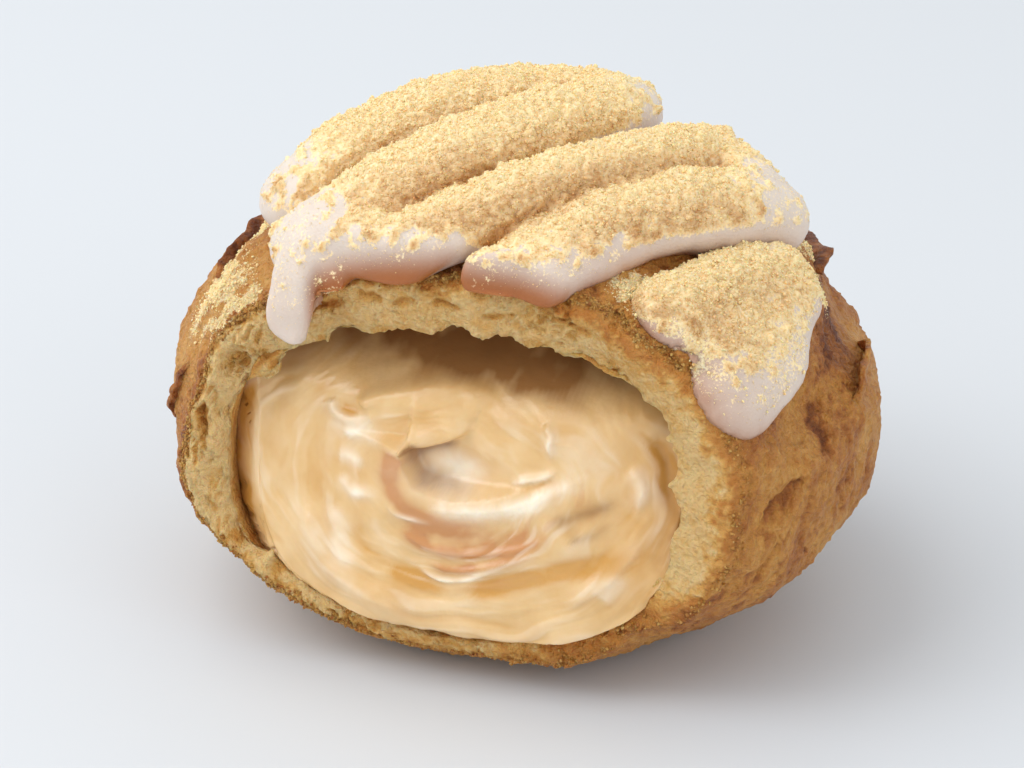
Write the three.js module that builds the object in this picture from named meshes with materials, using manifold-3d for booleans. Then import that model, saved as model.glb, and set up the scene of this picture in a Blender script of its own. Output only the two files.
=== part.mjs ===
// A cream puff: a baked choux shell with its front cut away, a swirled custard cream inside it,
// and soft rice cake piped in a zigzag over the crown. Millimetres, +Z up, the cut looks towards -Y.
// The origin is the middle of the flat spot that the puff rests on.
import * as THREE from 'three';
import { mergeVertices } from 'three/addons/utils/BufferGeometryUtils.js';
import Module from 'manifold-3d';

const { clamp, degToRad, euclideanModulo, radToDeg, smoothstep } = THREE.MathUtils;

// The puff: rounded bodies about one middle, wider or squarer by their power, above and below it.
const widestLevel = 22.5;
const crust = { radius: 43.7, rise: 35.5, risePower: 2.1, drop: 25, dropPower: 1.85 };
const hollow = { radius: 37.5, rise: 26, risePower: 2.6, drop: 19, dropPower: 3 };
const hollowShift = 1.3;
const crustFineness = 12;
const hollowFineness = 7;

// The spot where it lay flat to bake: a few-sided face that stands steady, just below the round crust.
const restRadius = 16.5;
const restSides = 7;
const restHeight = 0.3;
const restSink = 1;

// The cut that took the front away, seen from above and from the side, and how unevenly it tore.
const cutTurn = degToRad(-17.5);
const cutLean = degToRad(3);
const cutDistance = 27.8;
const tearDepth = 0.8;
const tearLength = 7;
const tearCells = 2.9;
const slabSpan = 104;
const slabFloor = -20;

// The crust's relief: broad swells, small crags, a shelf where the skin burst, and folded creases.
const swellHeight = 1.1;
const swellLength = 34;
const cragHeight = 0.7;
const cragLength = 10;
const shelf = { turn: -15, spread: 42, level: 33, height: 1.6, recess: 1.6, skirt: 13 };
const creases = [
  { from: [-31, 36], to: [-55, 25], width: 2.6, depth: 2 },
  { from: [-52, 19], to: [-60, 14], width: 2.2, depth: 1.2 },
  { from: [20, 38], to: [48, 24], width: 3, depth: 1.6 },
  { from: [112, 20], to: [86, 35], width: 2.8, depth: 1.6 },
  { from: [168, 36], to: [198, 25], width: 2.8, depth: 1.6 },
];

// Curled flakes of browned skin: a turn about the puff, a level, the sizes and how far it leans out.
const flakes = [
  { turn: 187, level: 46.5, length: 9, breadth: 3.6, thickness: 1.1, lean: 35 },
  { turn: -7, level: 46, length: 8, breadth: 5, thickness: 2, lean: 12 },
  { turn: -11, level: 33, length: 7, breadth: 3, thickness: 1.2, lean: 30 },
  { turn: 200, level: 30, length: 8, breadth: 3, thickness: 1.2, lean: 25 },
  { turn: 62, level: 40, length: 9, breadth: 4, thickness: 1.3, lean: 20 },
  { turn: 128, level: 34, length: 8, breadth: 3.6, thickness: 1.2, lean: 22 },
];

// Steam pockets torn open in the left wall, the last a tall gap beside the cream: a place along the
// cut, a level and their sizes.
const pockets = [
  { along: -26.2, level: 37.6, width: 2, height: 1.9, depth: 5 },
  { along: -22, level: 38, width: 1.2, height: 1.8, depth: 4 },
  { along: -24, level: 24.5, width: 4, height: 12, depth: 7 },
];

// The cream's face: how far it stands out below, lies back above and on the left, and its swirl.
const creamBulge = 1.2;
const creamTopRecess = 7.5;
const creamLeftRecess = 4.5;
const creamLeftFrom = 14;
const creamLeftTo = 27;
const creamFloor = 6;
const creamTop = 46;
const swirlAlong = -1.2;
const swirlLevel = 27;
const swirlStretch = 1.6;
const swirlPitch = 6.8;
const swirlTurn = degToRad(90);
const swirlDepth = 1.5;
const swirlReach = 15;
const swirlCrest = 0.3;
const creamCells = 1.75;

// The rice cake: strands piped to and fro across the crown, on a map of the dome unrolled flat.
// Each run goes from one place to the next, along the strands and across them, with its bow and how
// flat it spread.
const strandTurn = degToRad(36);
const mapRadius = 40;
const strandWidth = 11.5;
const strandLift = 2.4;
const strandHeight = 7.4;
const strandThinning = 0.38;
const thinFrom = 10;
const thinTo = 28;
const strandLumps = 0.07;
const lumpLength = 14;
const strandOverhang = 0.8;
const strandStep = 3;
const strandSides = 12;
const strandEndRings = 4;
const zigzag = [
  { from: [-24, -11], to: [8, -11], bow: -1, width: 13 },
  { from: [-29, 0], to: [17, -2], bow: 4, width: 12.5 },
  { from: [-25.5, 9.8], to: [17, 14.5], bow: 3.2, width: 9.5 },
  { from: [-14.5, 22.9], to: [19, 23.5], bow: 0, width: 11 },
  { from: [-20.5, 21.3], to: [-12, 23], bow: 0, width: 7 },
  { from: [8, -11], to: [16, -2.5], bow: 0, width: 10 },
  { from: [-29, 0], to: [-25.5, 9.8], bow: 0, width: 9.5 },
  { from: [17, 14.5], to: [19, 23.5], bow: 0, width: 10.5 },
];
const tail = [
  { from: [-2.5, 35.6], to: [16, 33.9], bow: 0, width: 9.5, flat: 0.75 },
  { from: [6, 38], to: [2, 44], bow: 0, width: 13.5, flat: 0.75 },
  { from: [16, 35], to: [8.5, 42.5], bow: 0, width: 9.5, flat: 0.75 },
];
const drip = { from: [-29, -1], to: [-37.5, 4], bow: 0, width: 9.5 };
const dripOverhang = 4;

// Neighbouring pieces stay this far apart, and small rounded forms have this many sides and rings.
const gap = 0.3;
const smallSides = 12;
const smallRings = 8;

const wasm = await Module();
wasm.setup();
const middle = new THREE.Vector3(0, 0, widestLevel);

// A closed solid from a geometry whose shared corners are merged.
function solid(geometry) {
  geometry.deleteAttribute('normal');
  geometry.deleteAttribute('uv');
  const merged = mergeVertices(geometry);
  return new wasm.Manifold(new wasm.Mesh({
    numProp: 3,
    vertProperties: new Float32Array(merged.attributes.position.array),
    triVerts: new Uint32Array(merged.index.array),
  }));
}

// Moves every corner of a geometry to where the rule puts it.
function reshape(geometry, rule) {
  const corners = geometry.attributes.position;
  const corner = new THREE.Vector3();
  for (let i = 0; i < corners.count; i += 1) {
    corner.fromBufferAttribute(corners, i);
    const moved = rule(corner);
    corners.setXYZ(i, moved.x, moved.y, moved.z);
  }
  return geometry;
}

// A distance as an angle of a wave of some length.
function wave(distance, length) {
  return distance * 2 * Math.PI / length;
}

// How far a rounded body reaches from its middle along a unit direction.
function reach(body, direction) {
  const above = direction.z > 0;
  const power = above ? body.risePower : body.dropPower;
  const across = Math.hypot(direction.x, direction.y) / body.radius;
  const upright = Math.abs(direction.z) / (above ? body.rise : body.drop);
  return (across ** power + upright ** power) ** (-1 / power);
}

// A rounded body about the puff's middle, with relief laid on its skin.
function roundedBody(body, fineness, relief) {
  return reshape(new THREE.IcosahedronGeometry(1, fineness), (corner) => {
    const direction = corner.clone().normalize();
    const skin = direction.clone().multiplyScalar(reach(body, direction)).add(middle);
    return skin.addScaledVector(direction, relief(skin));
  });
}

// A turn about the puff in degrees, brought to within half a turn of another one.
function turnFrom(point, turn) {
  const own = radToDeg(Math.atan2(point.y, point.x));
  return euclideanModulo(own - turn + 180, 360) - 180;
}

// A crease is a groove along a slanting line on the unrolled side wall, shallow at its ends.
function creaseDepth(crease, point) {
  const degree = crust.radius * THREE.MathUtils.DEG2RAD;
  const [turn, level] = crease.from;
  const line = new THREE.Vector2((crease.to[0] - turn) * degree, crease.to[1] - level);
  const place = new THREE.Vector2(turnFrom(point, turn) * degree, point.z - level);
  const share = place.dot(line) / line.lengthSq();
  const off = place.cross(line) / line.length();
  const ends = smoothstep(share, -0.1, 0.15) * smoothstep(1.1 - share, 0, 0.25);
  return crease.depth * ends * Math.exp(-((off / crease.width) ** 2));
}

// The skin stands out below the shelf's edge and lies back above it, and runs out both ways.
function shelfHeight(point) {
  const aside = Math.abs(turnFrom(point, shelf.turn));
  const around = smoothstep(shelf.spread - aside, 0, shelf.spread / 2);
  const below = shelf.level - point.z;
  const fading = smoothstep(shelf.skirt - Math.abs(below), 0, shelf.skirt);
  const step = smoothstep(below, -1, 1);
  return around * fading * (shelf.height * step - shelf.recess * (1 - step));
}

// All of the crust's relief at a point of its smooth skin.
function crustRelief(point) {
  const { x, y, z } = point;
  const swell = Math.sin(wave(x + z, swellLength)) * Math.cos(wave(y - z / 2, swellLength));
  const crag = Math.sin(wave(x - z / 2, cragLength)) * Math.sin(wave(y + z / 2, cragLength) + swell);
  const grooves = creases.reduce((sum, crease) => sum + creaseDepth(crease, point), 0);
  return swellHeight * swell + cragHeight * Math.abs(crag) + shelfHeight(point) - grooves;
}

// A flake: a thin lens that lies on the skin and leans out at its upper edge.
function flakeSolid(flake, lift) {
  const turn = degToRad(flake.turn);
  const upright = (flake.level - widestLevel) / crust.rise;
  const outward = crust.radius * (1 - Math.abs(upright) ** crust.risePower) ** (1 / crust.risePower);
  const lens = new THREE.SphereGeometry(1, smallSides, smallRings);
  lens.scale(flake.thickness / 2 + lift, flake.length / 2 + lift, flake.breadth / 2 + lift);
  lens.rotateY(degToRad(flake.lean) - Math.atan2(upright * crust.radius, outward));
  const place = new THREE.Vector3(outward * Math.cos(turn), outward * Math.sin(turn), flake.level);
  lens.translate(outward + crustRelief(place), 0, flake.level);
  lens.rotateZ(turn);
  return solid(lens);
}

// The puff's whole skin, flakes included, raised by a lift.
function puffSkin(lift) {
  const skin = solid(roundedBody(crust, crustFineness, (point) => crustRelief(point) + lift));
  return flakes.reduce((whole, flake) => whole.add(flakeSolid(flake, lift)), skin);
}

// The hollow that the cream fills, drawn in by a gap.
function hollowBody(inset) {
  const body = roundedBody(hollow, hollowFineness, () => -inset);
  body.translate(hollowShift * Math.cos(cutTurn), hollowShift * Math.sin(cutTurn), 0);
  return solid(body);
}

// How far the plain cut stands from the puff's axis at a level.
function cutDepth(level) {
  return cutDistance - (level - widestLevel) * Math.tan(cutLean);
}

// A block with one face shaped along the cut, reaching to the front of it or to the back.
function cutBlock(cells, toFront, depthAt) {
  const count = Math.round(slabSpan / cells);
  const side = toFront ? 1 : -1;
  const block = new THREE.BoxGeometry(slabSpan, 2, slabSpan, count, 1, count);
  block.translate(0, 0, slabSpan / 2 + slabFloor);
  reshape(block, (corner) => {
    corner.y = corner.y * side > 0 ? -depthAt(corner.x, corner.z) : -side * slabSpan;
    return corner;
  });
  block.rotateZ(cutTurn);
  return solid(block);
}

// The torn rim wanders in and out of the plain cut.
function tornDepth(along, level) {
  const sideways = Math.sin(wave(along, tearLength) + Math.sin(wave(level, tearLength * 1.6)));
  const wander = sideways * Math.cos(wave(level - along / 3, tearLength * 1.2));
  return cutDepth(level) + tearDepth * wander;
}

// The cream's face stands out at the bottom and lies back at the top and left, round one swirl.
function creamDepth(along, level) {
  const up = clamp((level - creamFloor) / (creamTop - creamFloor), 0, 1);
  const left = smoothstep(-along, creamLeftFrom, creamLeftTo);
  const bulk = creamBulge - creamTopRecess * up ** 2 - creamLeftRecess * left;
  const sideways = (along - swirlAlong) / swirlStretch;
  const upward = level - swirlLevel;
  const out = Math.hypot(sideways, upward);
  const phase = Math.atan2(upward, sideways) - wave(out, swirlPitch) + swirlTurn;
  const fade = Math.exp(-((out / swirlReach) ** 2)) * smoothstep(out, 0, swirlPitch / 2);
  return cutDepth(level) + bulk + swirlDepth * fade * (Math.cos(phase) + swirlCrest * Math.cos(2 * phase));
}

// A place on the unrolled dome, along and across the strands, lifted off the smooth crust.
// The strands sank and spread thinner down the front.
function onDome(along, across, lift) {
  const right = along * Math.cos(strandTurn) + across * Math.sin(strandTurn);
  const back = along * Math.sin(strandTurn) - across * Math.cos(strandTurn);
  const bearing = Math.atan2(back, right);
  const fall = Math.hypot(right, back) / mapRadius;
  const direction = new THREE.Vector3(
    Math.sin(fall) * Math.cos(bearing),
    Math.sin(fall) * Math.sin(bearing),
    Math.cos(fall),
  );
  const thinned = lift * (1 - strandThinning * smoothstep(-back, thinFrom, thinTo));
  return direction.clone().multiplyScalar(reach(crust, direction) + thinned).add(middle);
}

// One run of rice cake: a round-ended strand, flattened, bowed and laid over the dome.
function strandSolid(run) {
  const start = new THREE.Vector2(...run.from);
  const chord = new THREE.Vector2(...run.to).sub(start);
  const length = chord.length();
  const heading = chord.clone().normalize();
  const halfWidth = (run.width ?? strandWidth) / 2;
  const flat = run.flat ?? 1;
  const halfHeight = (strandHeight - strandLift) * flat;
  const steps = Math.max(2, Math.round(length / strandStep));
  const capsule = new THREE.CapsuleGeometry(halfWidth, length, strandEndRings, strandSides, steps);
  return solid(reshape(capsule, (corner) => {
    const share = corner.y / length + 0.5;
    const lumps = 1 + strandLumps * Math.sin(wave(corner.y + run.from[1], lumpLength));
    const sideways = corner.x * lumps + run.bow * (1 - (2 * share - 1) ** 2);
    const along = start.x + heading.x * share * length - heading.y * sideways;
    const across = start.y + heading.y * share * length + heading.x * sideways;
    return onDome(along, across, strandLift * flat + corner.z / halfWidth * halfHeight * lumps);
  }));
}

// A list of runs as one body, cut off a little past the cut.
function joined(runs, overhang) {
  const past = cutBlock(slabSpan, true, (along, level) => cutDepth(level) + overhang);
  return runs.map(strandSolid).reduce((whole, run) => whole.add(run)).subtract(past);
}

// A steam pocket: a rounded hole that goes into the wall square to the cut.
function pocketSolid(pocket) {
  const hole = new THREE.SphereGeometry(1, smallSides, smallRings);
  hole.scale(pocket.width, pocket.depth, pocket.height);
  hole.translate(pocket.along, -cutDepth(pocket.level), pocket.level);
  hole.rotateZ(cutTurn);
  return solid(hole);
}

function chouxShell() {
  const ground = new THREE.BoxGeometry(slabSpan, slabSpan, slabSpan);
  ground.translate(0, 0, restHeight - slabSpan / 2);
  const rest = new THREE.CylinderGeometry(restRadius, restRadius, restHeight + restSink, restSides);
  rest.rotateX(Math.PI / 2);
  rest.translate(0, 0, (restHeight + restSink) / 2);
  const shell = puffSkin(0)
    .subtract(solid(ground))
    .add(solid(rest))
    .subtract(hollowBody(0))
    .subtract(cutBlock(tearCells, true, tornDepth));
  return pockets.reduce((whole, pocket) => whole.subtract(pocketSolid(pocket)), shell);
}

function cream() {
  return hollowBody(gap).intersect(cutBlock(creamCells, false, creamDepth));
}

// The strands end at the cut, and the drip hangs a little way over it.
function riceCakeZigzag() {
  return joined(zigzag, strandOverhang).add(joined([drip], dripOverhang)).subtract(puffSkin(gap));
}

// The last strand, parted from the zigzag where the cut took its turn away.
function riceCakeTail() {
  return joined(tail, strandOverhang).subtract(puffSkin(gap));
}

// A named mesh of a solid, with its own colour and roughness.
function piece(name, body, color, roughness) {
  const mesh = body.getMesh();
  const geometry = new THREE.BufferGeometry();
  geometry.setAttribute('position', new THREE.BufferAttribute(mesh.vertProperties, 3));
  geometry.setIndex(new THREE.BufferAttribute(mesh.triVerts, 1));
  geometry.computeVertexNormals();
  const material = new THREE.MeshStandardMaterial({ color, roughness, metalness: 0 });
  const part = new THREE.Mesh(geometry, material);
  part.name = name;
  return part;
}

const creamPuff = new THREE.Group();
creamPuff.add(piece('choux_shell', chouxShell(), 0xc08a4a, 0.75));
creamPuff.add(piece('custard_cream', cream(), 0xe8cf9f, 0.4));
creamPuff.add(piece('rice_cake_zigzag', riceCakeZigzag(), 0xeee6e2, 0.35));
creamPuff.add(piece('rice_cake_tail', riceCakeTail(), 0xeee6e2, 0.35));

export default creamPuff;
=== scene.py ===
import math

import bmesh
import bpy
import numpy as np
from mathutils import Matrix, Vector, kdtree, noise
from mathutils.bvhtree import BVHTree


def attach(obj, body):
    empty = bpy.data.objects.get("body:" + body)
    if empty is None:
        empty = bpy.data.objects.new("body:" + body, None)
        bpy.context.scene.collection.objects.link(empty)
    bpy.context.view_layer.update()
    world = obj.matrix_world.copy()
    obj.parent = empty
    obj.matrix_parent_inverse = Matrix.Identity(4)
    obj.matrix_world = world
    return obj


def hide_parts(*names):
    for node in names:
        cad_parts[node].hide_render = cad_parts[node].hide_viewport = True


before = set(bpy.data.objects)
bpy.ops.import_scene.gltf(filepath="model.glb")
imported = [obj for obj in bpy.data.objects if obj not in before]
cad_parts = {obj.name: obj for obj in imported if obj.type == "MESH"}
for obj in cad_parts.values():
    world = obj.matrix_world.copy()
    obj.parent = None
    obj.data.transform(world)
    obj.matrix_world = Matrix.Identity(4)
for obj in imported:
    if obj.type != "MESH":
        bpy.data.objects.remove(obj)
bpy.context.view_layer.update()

# Choux shell
# A bun of choux paste: steam blew it hollow in the oven and browned a thin skin over pale crumb.
# A knife took its front away, so the rim shows torn crumb, and pockets open in the thick left wall.

# Places are worked out in millimetres, and written back in metres.
PUFF_MIDDLE = np.array((0, 0, 22.5))
CRUST = {"radius": 43.7, "rise": 35.5, "rise_power": 2.1, "drop": 25, "drop_power": 1.85}
CUT_TURN = math.radians(-17.5)
CUT_LEAN = math.radians(3)
CUT_DISTANCE = 27.8
CUT_OUT = np.array((math.sin(CUT_TURN), -math.cos(CUT_TURN), 0))
CUT_ALONG = np.array((math.cos(CUT_TURN), math.sin(CUT_TURN), 0))
OPENING_MIDDLE = (0.5, 25)
SHELL_GRID = 1.27
SKIN_THICKNESS = 1.2
MAP_ROUND = 42
SWELL_HEIGHT = 0.45
CRAG_HEIGHT = 0.2
WRINKLE_HEIGHT = 0.22
GRIT_HEIGHT = 0.18
CRACK_DEPTH = 0.25
FOLD_HEIGHT = 0.12
WEB_HEIGHT = 0.25
CRUMB_GRIT_HEIGHT = 0.1
HOLLOW_DEPTH = 0.8
EDGE_GRAIN_HEIGHT = 0.7
LEFT_WEB_HEIGHT = 0.6
TOP_BEVEL = 1.2
RIGHT_BEVEL = 2.4
LEFT_BEVEL = 1.6
LEDGE_BEARING = -12
LEDGE_LEVEL = 39
LEDGE_DEPTH = 1.3
WALL_DRAWN_BACK = 1.7
RIM_WIDENED = 1.6
POCKET_SPREAD = 3
POCKET_FILLED = 0.65
PORE_SIZE = 0.9

# Creases in the skin's right side, as ways round the puff in degrees and levels.
CREASES = [
    {"depth": 0.9, "left": 0.5, "right": 0.9, "route": ((-31, 35), (-33, 33), (-34.5, 30.5), (-36, 27.5))},
    {"depth": 1.0, "left": 1.0, "right": 0.5, "route": ((-41, 29), (-45, 27.4), (-49, 25.4), (-54, 22))},
    {"depth": 0.5, "left": 0.6, "right": 1.2, "route": ((-37, 30), (-40, 26), (-41, 21), (-40, 16))},
    {"depth": 0.35, "left": 0.8, "right": 0.6, "route": ((-24, 33), (-26, 28), (-30, 22), (-31, 15))},
    {"depth": 0.4, "left": 0.7, "right": 0.7, "route": ((-47, 22), (-50, 18), (-49, 13))},
    {"depth": 0.4, "left": 0.6, "right": 0.8, "route": ((-16, 27), (-19, 21), (-18, 14))},
]
# Hollows torn in the rim's crumb, as places along the cut and levels.
TEARS = [
    {"depth": 1.3, "left": 1.0, "right": 1.1, "route": ((-17.4, 46.8), (-14.6, 46.9), (-12.4, 48.0))},
    {"depth": 1.0, "left": 0.6, "right": 0.8, "route": ((-12.4, 48.8), (-10.1, 48.4), (-7.8, 48.7))},
    {"depth": 0.8, "left": 0.6, "right": 0.7, "route": ((-7.8, 48.3), (-6, 48.6), (-4, 48.5))},
    {"depth": 1.0, "left": 0.7, "right": 0.8, "route": ((-3.4, 48.8), (-1.2, 48.3), (1.2, 47.7))},
    {"depth": 0.8, "left": 0.7, "right": 0.7, "route": ((2.8, 48.1), (5.4, 47.6), (8.8, 47.6))},
    {"depth": 0.9, "left": 0.8, "right": 0.8, "route": ((10.2, 48.4), (14.4, 47.5), (18.6, 45.9))},
    {"depth": 1.6, "left": 0.9, "right": 1.0, "route": ((-31.3, 32.6), (-30.6, 29.3), (-30.3, 25.8))},
    {"depth": 0.7, "left": 0.9, "right": 0.9, "route": ((-29.8, 20.2), (-29.2, 18.6), (-28.2, 17.2))},
    {"depth": 0.7, "left": 0.8, "right": 0.8, "route": ((-26.6, 14.8), (-25.6, 13.8), (-24.6, 13.2))},
    {"depth": 0.9, "left": 1.6, "right": 1.6, "route": ((-28.4, 36.2), (-26.2, 37.6), (-23.8, 37.6))},
    {"depth": 0.8, "left": 1.1, "right": 1.1, "route": ((-22.6, 36.2), (-21.6, 37.8), (-20.2, 39.2))},
]
# A thin pale web along the left wall's inner edge.
WEB = {
    "left": 0.5, "right": 0.6,
    "route": ((-28.8, 34), (-28.7, 28.1), (-28.2, 24.3), (-26.3, 19.4), (-23.4, 15.9)),
}
# Pockets in the left wall that crumb half fills again, as places along the cut and levels.
HALF_FILLED = ((-26.2, 37.6), (-22, 38))
# Places on the crust where flour fell, with how far it spread.
FALLEN = [
    ((-36, -6, 42), 9),
    ((-34, -13, 43), 7),
    ((-32, 2, 48), 6),
    ((31, -5, 49), 5),
    ((34, -2, 46), 4.5),
    ((35.5, -8, 43), 4),
    ((13, -26, 51), 5),
    ((24, -14, 52), 5),
    ((14, 8, 58), 8),
]


def linear(red, green, blue):
    """A colour as a picture shows it, 0 to 255, in the linear values that shaders take."""
    shares = [value / 255 for value in (red, green, blue)]
    return [((share + 0.055) / 1.055) ** 2.4 for share in shares] + [1.0]


def smoothstep(value, low, high):
    """0 below low, 1 above high, and an even slope between them."""
    share = np.clip((value - low) / (high - low), 0, 1)
    return share * share * (3 - 2 * share)


def new_piece(shape, name):
    """A new piece with the mesh of a finished shape."""
    mesh = bpy.data.meshes.new(name)
    shape.to_mesh(mesh)
    shape.free()
    piece = bpy.data.objects.new(name, mesh)
    bpy.context.collection.objects.link(piece)
    return piece


def copy_of(node, name):
    """A new piece with a merged copy of a solid's mesh."""
    shape = bmesh.new()
    shape.from_mesh(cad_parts[node].data)
    bmesh.ops.remove_doubles(shape, verts=shape.verts, dist=1e-6)
    return new_piece(shape, name)


def remesh(piece, grid):
    """Gives a piece an even net of faces about as wide as the grid, in millimetres."""
    modifier = piece.modifiers.new("Even net", "REMESH")
    modifier.mode = "VOXEL"
    modifier.voxel_size = grid / 1000
    seen = piece.evaluated_get(bpy.context.evaluated_depsgraph_get())
    mesh = bpy.data.meshes.new_from_object(seen)
    piece.modifiers.clear()
    piece.data = mesh


def smooth(piece, rounds):
    """Rounds a piece off by so many rounds of evening out."""
    shape = bmesh.new()
    shape.from_mesh(piece.data)
    for _ in range(rounds):
        bmesh.ops.smooth_vert(
            shape, verts=shape.verts, factor=0.5, use_axis_x=True, use_axis_y=True, use_axis_z=True
        )
    shape.to_mesh(piece.data)
    shape.free()


def refine(piece, chosen):
    """Splits the chosen faces of a piece in four."""
    shape = bmesh.new()
    shape.from_mesh(piece.data)
    picked = set(np.flatnonzero(chosen).tolist())
    edges = [edge for edge in shape.edges if any(face.index in picked for face in edge.link_faces)]
    bmesh.ops.subdivide_edges(shape, edges=edges, cuts=1, use_grid_fill=True)
    shape.to_mesh(piece.data)
    shape.free()


def corners(piece):
    """A piece's corners, in millimetres."""
    places = np.empty(len(piece.data.vertices) * 3)
    piece.data.vertices.foreach_get("co", places)
    return places.reshape(-1, 3) * 1000


def move_corners(piece, places):
    """Puts a piece's corners at new places, in millimetres."""
    piece.data.vertices.foreach_set("co", (places / 1000).ravel())
    piece.data.update()


def corner_normals(piece):
    """The directions that a piece's corners look in."""
    directions = np.empty(len(piece.data.vertices) * 3)
    piece.data.vertex_normals.foreach_get("vector", directions)
    return directions.reshape(-1, 3)


def face_means(piece, values):
    """The mean of values at the corners, for every face of a piece."""
    owner = np.empty(len(piece.data.loops), dtype=int)
    piece.data.loops.foreach_get("vertex_index", owner)
    starts = np.empty(len(piece.data.polygons), dtype=int)
    piece.data.polygons.foreach_get("loop_start", starts)
    counts = np.diff(np.append(starts, len(owner)))
    return np.add.reduceat(values[owner], starts) / counts


def keep(piece, name, values):
    """Keeps a value at every corner of a piece, for its material to read."""
    layer = piece.data.attributes.new(name, "FLOAT", "POINT")
    layer.data.foreach_set("value", np.asarray(values, dtype=np.float32))


def read_kept(piece, name):
    """The values kept at a piece's corners."""
    values = np.empty(len(piece.data.vertices), dtype=np.float32)
    piece.data.attributes[name].data.foreach_get("value", values)
    return values


def lumps(places, size, octaves=1, seed=0):
    """Soft noise, about -1 to 1, with lumps of a size in millimetres."""
    shifted = places / size + seed * 17.3
    return np.array([1.6 * noise.fractal(Vector(place), 1.0, 2.0, octaves) for place in shifted])


def bubbles(places, size, seed=0):
    """How far each place lies inside its cell of a foam, from 0 on the walls to about 1."""
    shifted = places / size + seed * 17.3
    found = [noise.voronoi(Vector(place))[0] for place in shifted]
    return np.array([1.6 * (near[1] - near[0]) for near in found])


def nearest(places, targets):
    """The distance from every place to the nearest target."""
    tree = kdtree.KDTree(len(targets))
    for index, target in enumerate(targets):
        tree.insert(Vector(target), index)
    tree.balance()
    return np.array([tree.find(Vector(place))[2] for place in places])


def reach(directions, radius, rise, rise_power, drop, drop_power):
    """How far a rounded body reaches from the puff's middle along unit directions."""
    above = directions[:, 2] > 0
    power = np.where(above, rise_power, drop_power)
    across = np.hypot(directions[:, 0], directions[:, 1]) / radius
    upright = np.abs(directions[:, 2]) / np.where(above, rise, drop)
    return (across ** power + upright ** power) ** (-1 / power)


def off_puff_middle(places):
    """How far places lie from the puff's middle, and the unit directions to them."""
    from_middle = places - PUFF_MIDDLE
    radius = np.linalg.norm(from_middle, axis=1)
    return radius, from_middle / radius[:, None]


def past_cut(places):
    """How far places stand in front of the plain cut."""
    return places @ CUT_OUT - CUT_DISTANCE + (places[:, 2] - PUFF_MIDDLE[2]) * math.tan(CUT_LEAN)


def smooth_route(stops):
    """A route through stops, rounded between them in a dozen steps each."""
    stops = np.array(stops)
    stops = np.concatenate((2 * stops[:1] - stops[1:2], stops, 2 * stops[-1:] - stops[-2:-1]))
    found = []
    for before, first, second, after in zip(stops, stops[1:], stops[2:], stops[3:]):
        for share in np.arange(12) / 12:
            bend = (2 * before - 5 * first + 4 * second - after) * share ** 2
            bend += (3 * first - before - 3 * second + after) * share ** 3
            found.append(first + ((second - before) * share + bend) / 2)
    return np.array(found + [stops[-2]])


def ridge(points, stroke):
    """How strongly a ridge along a route stands out at points on its map, from 0 to 1."""
    route = smooth_route(stroke["route"])
    heading = np.gradient(route, axis=0)
    apart = points[:, None, :] - route[None]
    distance = np.hypot(apart[:, :, 0], apart[:, :, 1])
    step = distance.argmin(axis=1)
    point = np.arange(len(points))
    off = apart[point, step]
    side = heading[step, 0] * off[:, 1] - heading[step, 1] * off[:, 0]
    width = np.where(side > 0, stroke["left"], stroke["right"])
    share = step / (len(route) - 1)
    ends = smoothstep(share, 0, stroke.get("start", 0.2)) * smoothstep(1 - share, 0, 0.4)
    return ends * np.exp(-(distance[point, step] / width) ** stroke.get("power", 1.6))


shell = copy_of("choux_shell", "choux_shell_look")
remesh(shell, SHELL_GRID)
smooth(shell, 4)

# The browned skin and the hollow's wall are told apart by which way they look.
places = corners(shell)
looks = corner_normals(shell)
radius, outward = off_puff_middle(places)
below_crust = reach(outward, **CRUST) - radius
on_cut = (past_cut(places) > -2.4) & (looks @ CUT_OUT > 0.45)
out_look = np.einsum("ij,ij->i", looks, outward)
skin_depth = np.where(past_cut(places) > -9, 2, 4)
on_outside = ~on_cut & (out_look > 0.15) & (below_crust < skin_depth)
skin_corners = places[on_outside]
wall_corners = places[~on_cut & (out_look < -0.15) & (below_crust > 2)]

# Faces that show are split finer, most of all on the rim.
skin_faces = face_means(shell, on_outside.astype(float)) > 0.4
rim_faces = face_means(shell, past_cut(places)) > -3
refine(shell, skin_faces | rim_faces)
refine(shell, face_means(shell, past_cut(corners(shell))) > -2.6)
smooth(shell, 2)

places = corners(shell)
looks = corner_normals(shell)
in_front = past_cut(places)
under_skin = nearest(places, skin_corners)
from_wall = nearest(places, wall_corners)
along = places @ CUT_ALONG
level = places[:, 2]
round_opening = np.arctan2(level - OPENING_MIDDLE[1], along - OPENING_MIDDLE[0])
towards_top = smoothstep(np.sin(round_opening), 0.35, 0.8)
towards_left = smoothstep(-np.cos(round_opening), 0.3, 0.7)
towards_right = smoothstep(np.cos(round_opening), 0.3, 0.7)
towards_bottom = smoothstep(-np.sin(round_opening), 0.45, 0.8)
on_rim = smoothstep(in_front, -3, -1.2) * smoothstep(under_skin, 0.4, 1.4)
inner_share = under_skin / (under_skin + from_wall + 0.01)

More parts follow.
